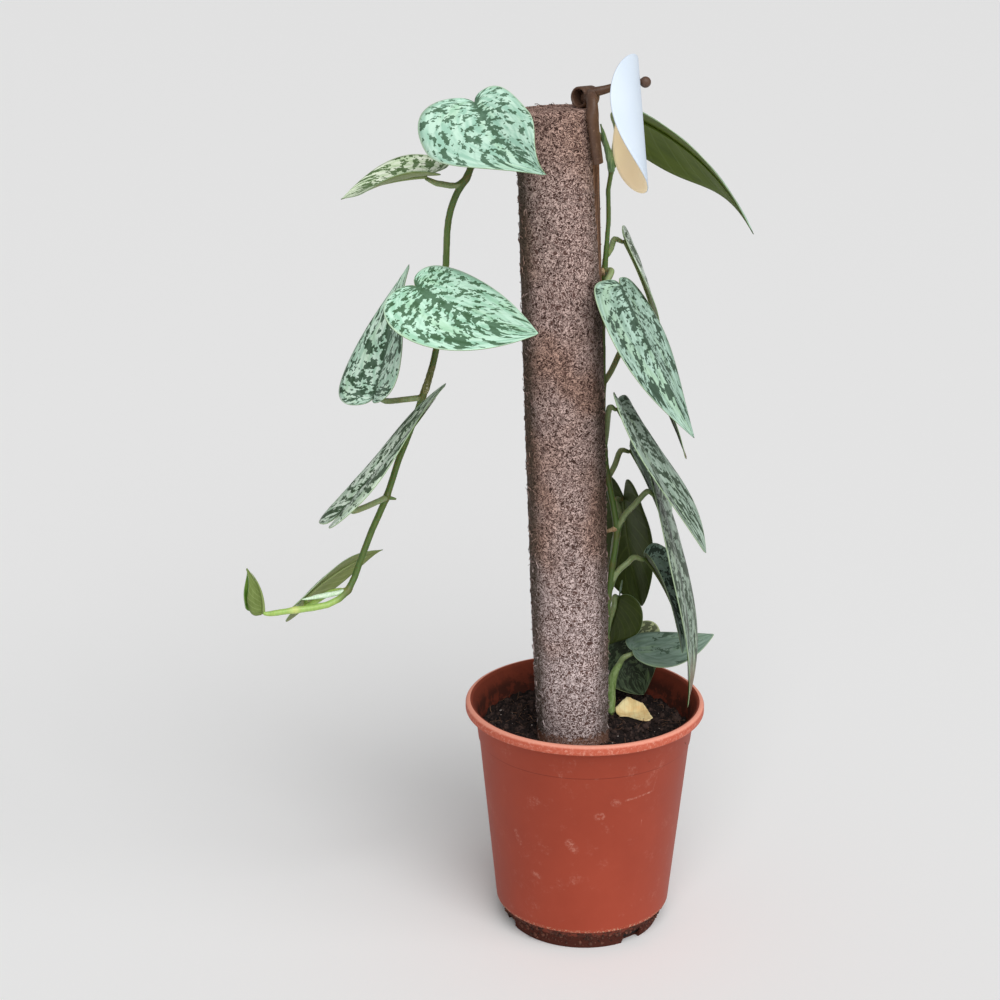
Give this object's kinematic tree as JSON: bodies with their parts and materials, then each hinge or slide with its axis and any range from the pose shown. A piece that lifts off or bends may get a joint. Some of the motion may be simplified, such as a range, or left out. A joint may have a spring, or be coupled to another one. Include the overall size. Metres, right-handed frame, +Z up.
{
  "type": "potted silver lady scindapsus",
  "caption": "Climbing houseplant with silver-marked heart-shaped leaves on a coir pole in a round nursery pot, with a round hang tag on a clip.",
  "frame": {"origin": "centre of the pot's foot, on the surface it stands on", "axes": "+Z up along the pot's axis; the plant's front faces -Y and its hanging end is on -X"},
  "size_m": [0.3378, 0.1902, 0.6202],
  "materials": {
    "terracotta_plastic": "satin, moulded, scuffed",
    "potting_mix": "rough, damp, fibrous",
    "coir": "rough short fibres",
    "variegated_leaf": "satin, silver with dark green marks",
    "green_stem": "satin",
    "card": "coated front, plain kraft back",
    "brown_plastic": "satin, moulded",
    "dried_leaf": "dry, creased"
  },
  "bodies": {
    "root": {"pot": "terracotta_plastic", "potting_mix": "potting_mix", "coir_pole": "coir", "vine": "green_stem", "low_shoot": "green_stem", "leaf_left_1": "variegated_leaf", "leaf_left_2": "variegated_leaf", "leaf_left_3": "variegated_leaf", "leaf_left_4": "variegated_leaf", "leaf_left_5": "variegated_leaf", "leaf_left_6": "variegated_leaf", "leaf_left_7_new": "variegated_leaf", "leaf_right_1": "variegated_leaf", "leaf_right_2": "variegated_leaf", "leaf_right_3": "variegated_leaf", "leaf_right_4": "variegated_leaf", "leaf_right_5": "variegated_leaf", "leaf_right_6": "variegated_leaf", "leaf_right_7": "variegated_leaf", "leaf_right_8": "variegated_leaf", "leaf_back_1": "variegated_leaf", "leaf_back_2": "variegated_leaf", "leaf_low_1": "variegated_leaf", "leaf_low_2": "variegated_leaf", "hang_tag": "card", "tag_clip": "brown_plastic", "dried_leaf_scrap": "dried_leaf"}
  },
  "joints": []
}
